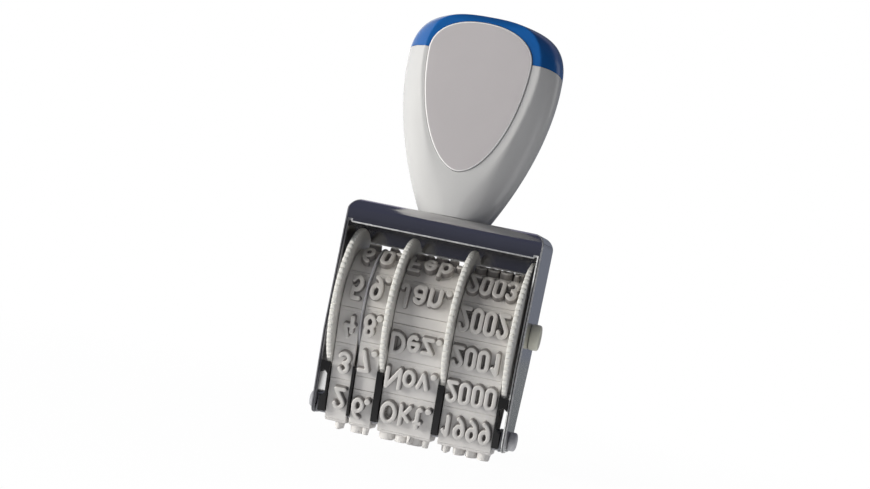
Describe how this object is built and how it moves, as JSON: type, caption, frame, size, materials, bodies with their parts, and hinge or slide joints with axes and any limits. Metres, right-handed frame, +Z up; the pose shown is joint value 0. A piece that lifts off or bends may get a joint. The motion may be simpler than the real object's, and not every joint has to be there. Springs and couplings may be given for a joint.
{
  "type": "date stamp",
  "caption": "Hand dater with closed rubber type bands on thumb wheels, held in a sheet-steel bracket under a paddle handle, that prints day, month and year in one line.",
  "frame": {"origin": "middle of the printing face, under the axle, on the surface the type stands on", "axes": "+Z up along the handle, +X along the printed line to the right as the front is seen, front faces -Y"},
  "size_m": [0.0333, 0.0224, 0.0667],
  "materials": {
    "bright_steel": "bright plated sheet, mirror-like",
    "plain_steel": "plain zinc-plated",
    "black_plastic": "moulded, matt",
    "cream_plastic": "moulded, satin",
    "grey_plastic": "moulded, glossy",
    "blue_plastic": "moulded, satin gloss",
    "plate_plastic": "moulded, matt",
    "band_rubber": "moulded type rubber, matt",
    "brass": "turned"
  },
  "bodies": {
    "stand": {"frame": "bright_steel", "nose_bracket": "plain_steel", "nose_block": "black_plastic", "nose_pin": "plain_steel", "wheel_axle": "plain_steel", "axle_cap": "cream_plastic", "handle_body": "grey_plastic", "handle_cap": "blue_plastic", "front_plate": "plate_plastic", "back_plate": "plate_plastic", "handle_screw": "plain_steel", "screw_washer": "plain_steel", "thread_insert": "brass", "day_tens_band": "band_rubber", "day_units_band": "band_rubber", "month_band": "band_rubber", "year_band": "band_rubber"},
    "tens_wheel": {"day_tens_wheel": "cream_plastic"},
    "units_wheel": {"day_units_wheel": "cream_plastic"},
    "months_wheel": {"month_wheel": "cream_plastic"},
    "years_wheel": {"year_wheel": "cream_plastic"},
    "divider": {"divider_disc": "plain_steel"}
  },
  "joints": [
    {"name": "turn_day_tens", "type": "hinge", "parent": "stand", "child": "tens_wheel", "pos_m": [0, 0, 0.02], "axis": [1, 0, 0], "continuous": true},
    {"name": "turn_day_units", "type": "hinge", "parent": "stand", "child": "units_wheel", "pos_m": [0, 0, 0.02], "axis": [1, 0, 0], "continuous": true},
    {"name": "turn_month", "type": "hinge", "parent": "stand", "child": "months_wheel", "pos_m": [0, 0, 0.02], "axis": [1, 0, 0], "continuous": true},
    {"name": "turn_year", "type": "hinge", "parent": "stand", "child": "years_wheel", "pos_m": [0, 0, 0.02], "axis": [1, 0, 0], "continuous": true},
    {"name": "turn_divider", "type": "hinge", "parent": "stand", "child": "divider", "pos_m": [0, 0, 0.02], "axis": [1, 0, 0], "continuous": true}
  ]
}
